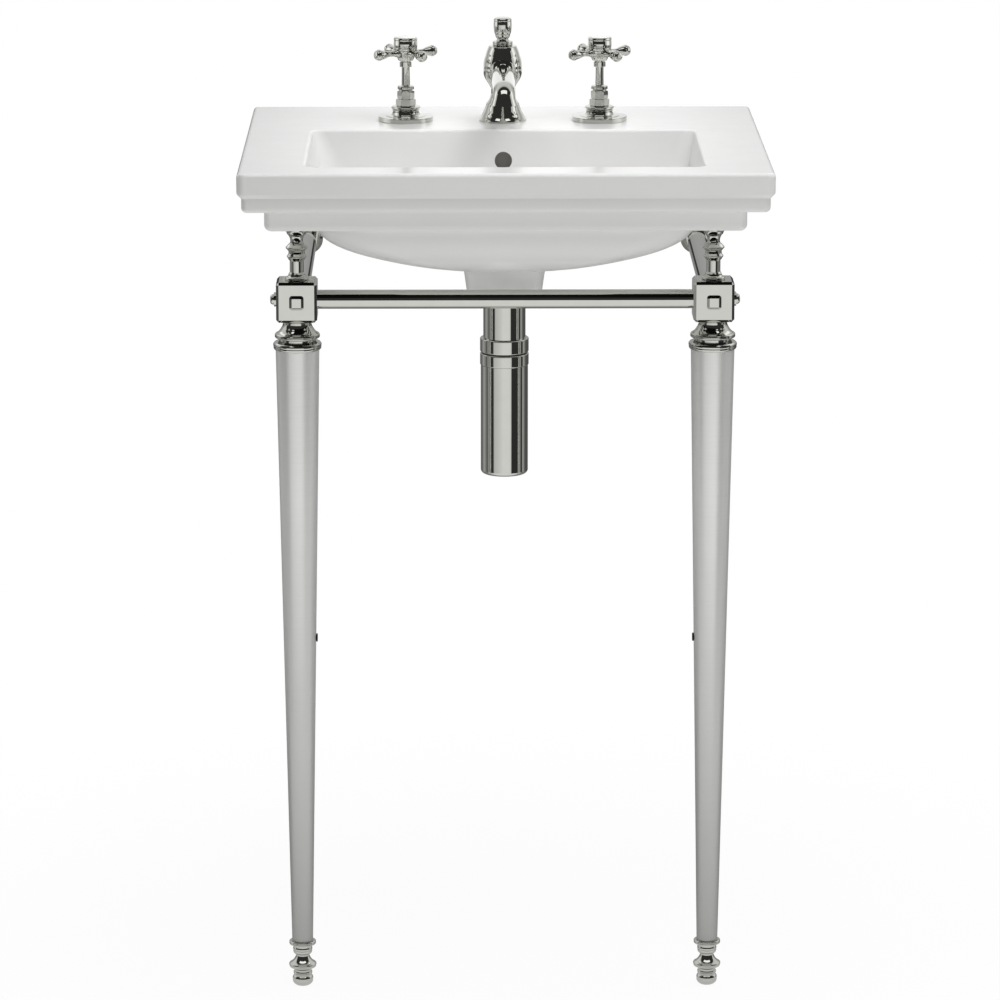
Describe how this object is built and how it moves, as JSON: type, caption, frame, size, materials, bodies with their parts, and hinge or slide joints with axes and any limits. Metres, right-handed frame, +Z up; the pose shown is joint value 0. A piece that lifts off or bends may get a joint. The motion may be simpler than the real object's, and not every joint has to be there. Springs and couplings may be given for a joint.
{
  "type": "basin with stand",
  "caption": "Stepped rectangular ceramic wash basin on a turned-leg metal washstand, with cross-handle taps, pop-up waste and bottle trap.",
  "frame": {"origin": "on the floor under the middle of the basin's outline", "axes": "+X to the right of a person facing the basin, +Y to the wall, +Z up"},
  "size_m": [0.53, 0.44, 0.9728],
  "materials": {
    "vitreous_china": "white glazed",
    "porcelain": "white glazed",
    "satin_nickel": "satin",
    "polished_nickel": "mirror polished",
    "blackened_steel": "blackened",
    "zinc_steel": "zinc plated",
    "brass": "as machined",
    "rubber": "matt",
    "grey_plastic": "moulded"
  },
  "bodies": {
    "basin_and_stand": {"basin": "vitreous_china", "leg_left": "satin_nickel", "leg_right": "satin_nickel", "leg_set_screws": "blackened_steel", "post_pads": "rubber", "trap_seal": "rubber", "tap_washers": "rubber", "waste_washer": "rubber", "tap_body_left": "brass", "tap_body_right": "brass", "tap_cartridges": "brass", "spout_shank": "brass", "rod_guide_tube": "brass", "tap_backnuts": "brass", "waste_backnut": "brass", "rail_tie_rod": "zinc_steel", "spout_aerator": "grey_plastic", "front_rail": "polished_nickel", "spout_body": "polished_nickel", "spout_arm": "polished_nickel", "pivot_nut": "polished_nickel", "waste_flange": "polished_nickel", "waste_barrel": "polished_nickel", "trap_inlet_nut": "polished_nickel", "trap_top_nut": "polished_nickel", "trap_dip_tube": "polished_nickel", "trap_bottle": "polished_nickel", "trap_outlet_pipe": "polished_nickel", "outlet_nut": "polished_nickel", "outlet_rose": "polished_nickel", "block_studs": "polished_nickel", "dome_nuts": "polished_nickel", "wall_flanges": "polished_nickel", "foot_left": "polished_nickel", "leg_collar_left": "polished_nickel", "corner_block_left": "polished_nickel", "side_rail_left": "polished_nickel", "basin_post_left": "polished_nickel", "tap_flange_left": "polished_nickel", "tap_bonnet_left": "polished_nickel", "foot_right": "polished_nickel", "leg_collar_right": "polished_nickel", "corner_block_right": "polished_nickel", "side_rail_right": "polished_nickel", "basin_post_right": "polished_nickel", "tap_flange_right": "polished_nickel", "tap_bonnet_right": "polished_nickel"},
    "left_handle": {"tap_handle_left": "polished_nickel", "tap_index_left": "porcelain", "tap_spindle_left": "polished_nickel"},
    "right_handle": {"tap_handle_right": "polished_nickel", "tap_index_right": "porcelain", "tap_spindle_right": "polished_nickel"},
    "popup_lift": {"popup_knob": "polished_nickel", "lift_rod": "zinc_steel", "clevis_strap": "zinc_steel", "strap_screw": "zinc_steel"},
    "pivot_lever": {"pivot_rod": "zinc_steel"},
    "waste_plug": {"popup_plug": "polished_nickel", "plug_seal": "rubber"}
  },
  "joints": [
    {"name": "left_handle_turn", "type": "hinge", "parent": "basin_and_stand", "child": "left_handle", "pos_m": [-0.1015, 0.124, 0.934], "axis": [0, 0, 1], "range_deg": [0, 90]},
    {"name": "right_handle_turn", "type": "hinge", "parent": "basin_and_stand", "child": "right_handle", "pos_m": [0.1015, 0.124, 0.934], "axis": [0, 0, 1], "range_deg": [-90, 0]},
    {"name": "knob_lift", "type": "slide", "parent": "basin_and_stand", "child": "popup_lift", "axis": [0, 0, 1], "range_m": [0, 0.036]},
    {"name": "lever_tilt", "type": "hinge", "parent": "basin_and_stand", "child": "pivot_lever", "pos_m": [0, -0.03175, 0.685], "axis": [1, 0, 0], "range_deg": [0, 13.18]},
    {"name": "plug_slide", "type": "slide", "parent": "basin_and_stand", "child": "waste_plug", "axis": [0, 0, 1], "range_m": [-0.00618, 0]}
  ],
  "couplings": [
    {"joint": "lever_tilt", "follows": "knob_lift", "rad_per_m": 6.3922},
    {"joint": "plug_slide", "follows": "knob_lift", "ratio": -0.17175}
  ]
}
